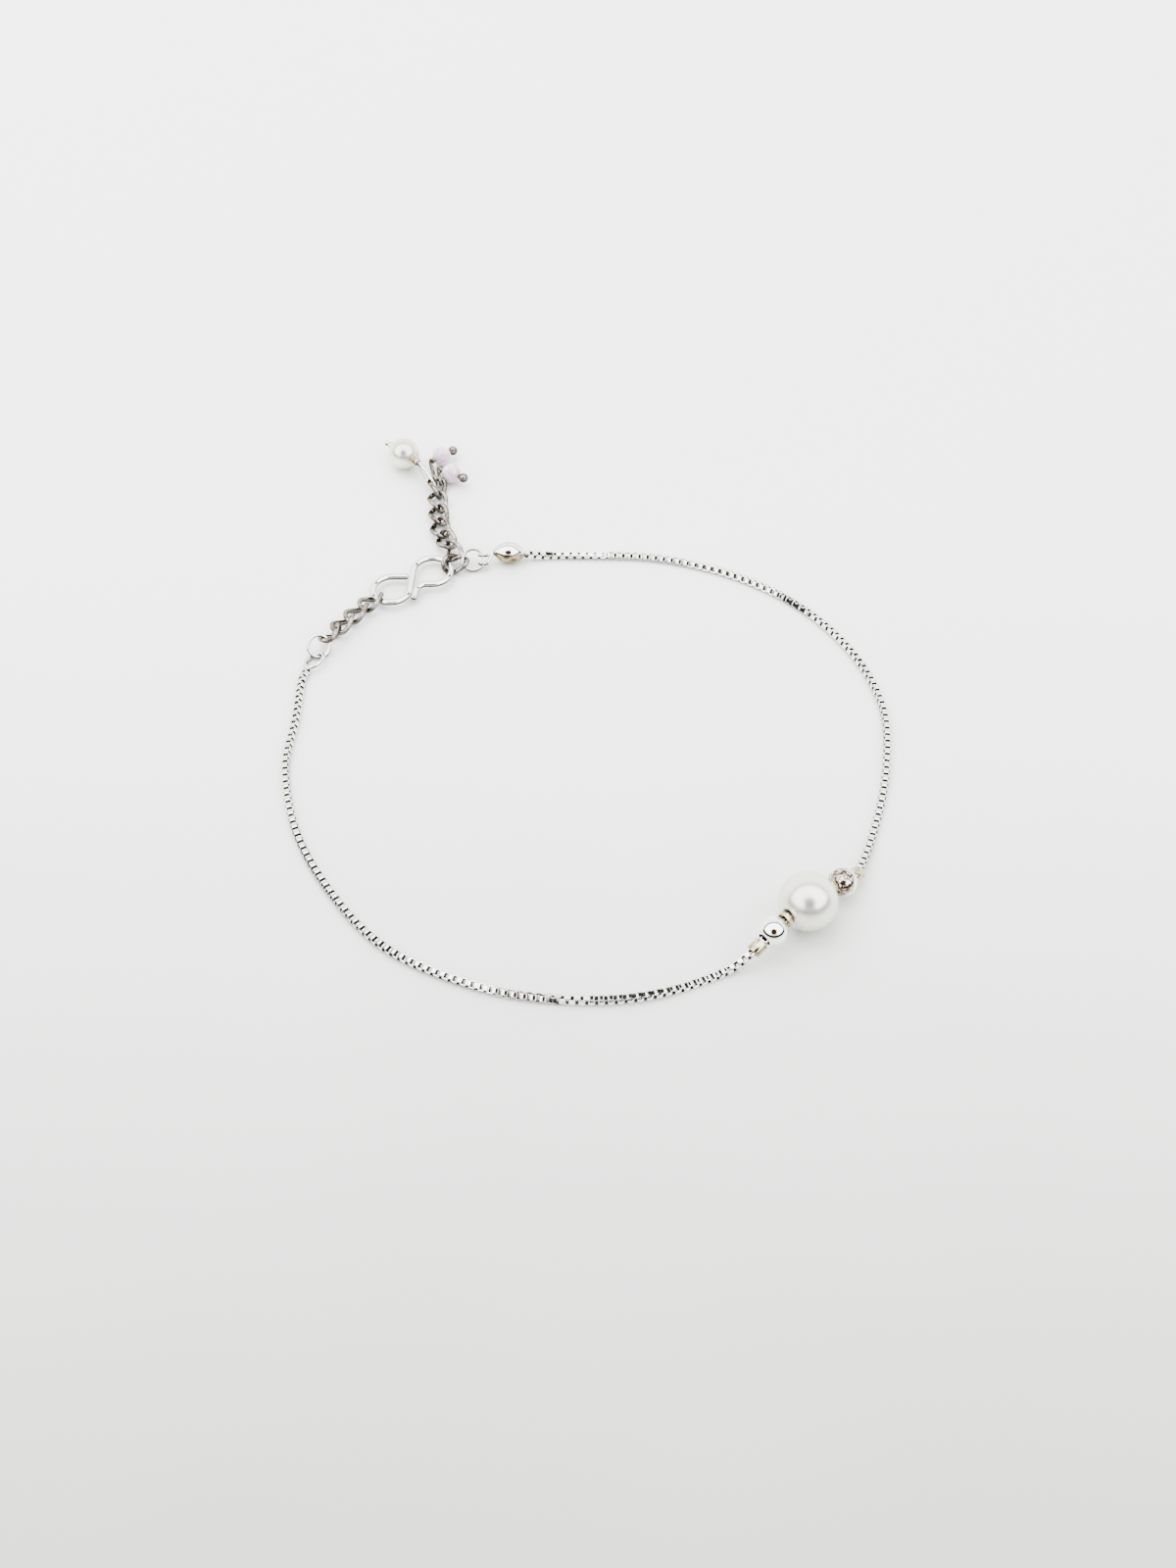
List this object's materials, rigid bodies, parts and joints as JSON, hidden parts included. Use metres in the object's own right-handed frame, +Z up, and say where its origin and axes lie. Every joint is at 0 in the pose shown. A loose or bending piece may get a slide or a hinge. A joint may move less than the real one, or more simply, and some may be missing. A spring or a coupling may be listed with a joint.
{
  "type": "payal anklet",
  "caption": "Payal anklet of fine silver box chain closed by an S hook into a flat loop, with a pearl between silver balls and a curb-chain extension ending in small bead charms.",
  "frame": {"origin": "on the surface that the anklet lies on, under the middle of its bounding box", "axes": "+Z up, out of the surface; +Y from the pearl's side of the loop towards the charms; +X towards the pearl's end"},
  "size_m": [0.0868, 0.1092, 0.008],
  "materials": {
    "silver": "bright polished silver",
    "grey_silver": "darkened silver, satin",
    "gold": "bright gold-coloured metal",
    "pale_gold": "pale gold-coloured metal",
    "nacre": "pearly white, lustrous",
    "lilac": "cloudy pale lilac, glossy"
  },
  "bodies": {
    "root": {"box_chain": "silver", "pearl": "nacre", "seed_left": "gold", "ball_left": "silver", "crimp_left": "pale_gold", "seed_right": "gold", "ball_right": "silver", "crimp_right": "pale_gold", "curb_link_1": "grey_silver", "curb_link_2": "grey_silver", "curb_link_3": "grey_silver", "curb_link_4": "grey_silver", "extension_link_1": "grey_silver", "extension_link_2": "grey_silver", "extension_link_3": "grey_silver", "extension_link_4": "grey_silver", "extension_link_5": "grey_silver", "extension_link_6": "grey_silver", "extension_link_7": "grey_silver", "jump_ring_left": "silver", "jump_ring_right": "silver", "end_loop": "silver", "s_hook": "silver", "bead_tip": "silver", "charm_end_seed": "nacre", "charm_pearl": "nacre", "charm_neck_seed": "gold", "charm_pin": "silver", "pink_bead_1": "lilac", "head_pin_1": "grey_silver", "pink_bead_2": "lilac", "head_pin_2": "grey_silver"}
  },
  "joints": []
}
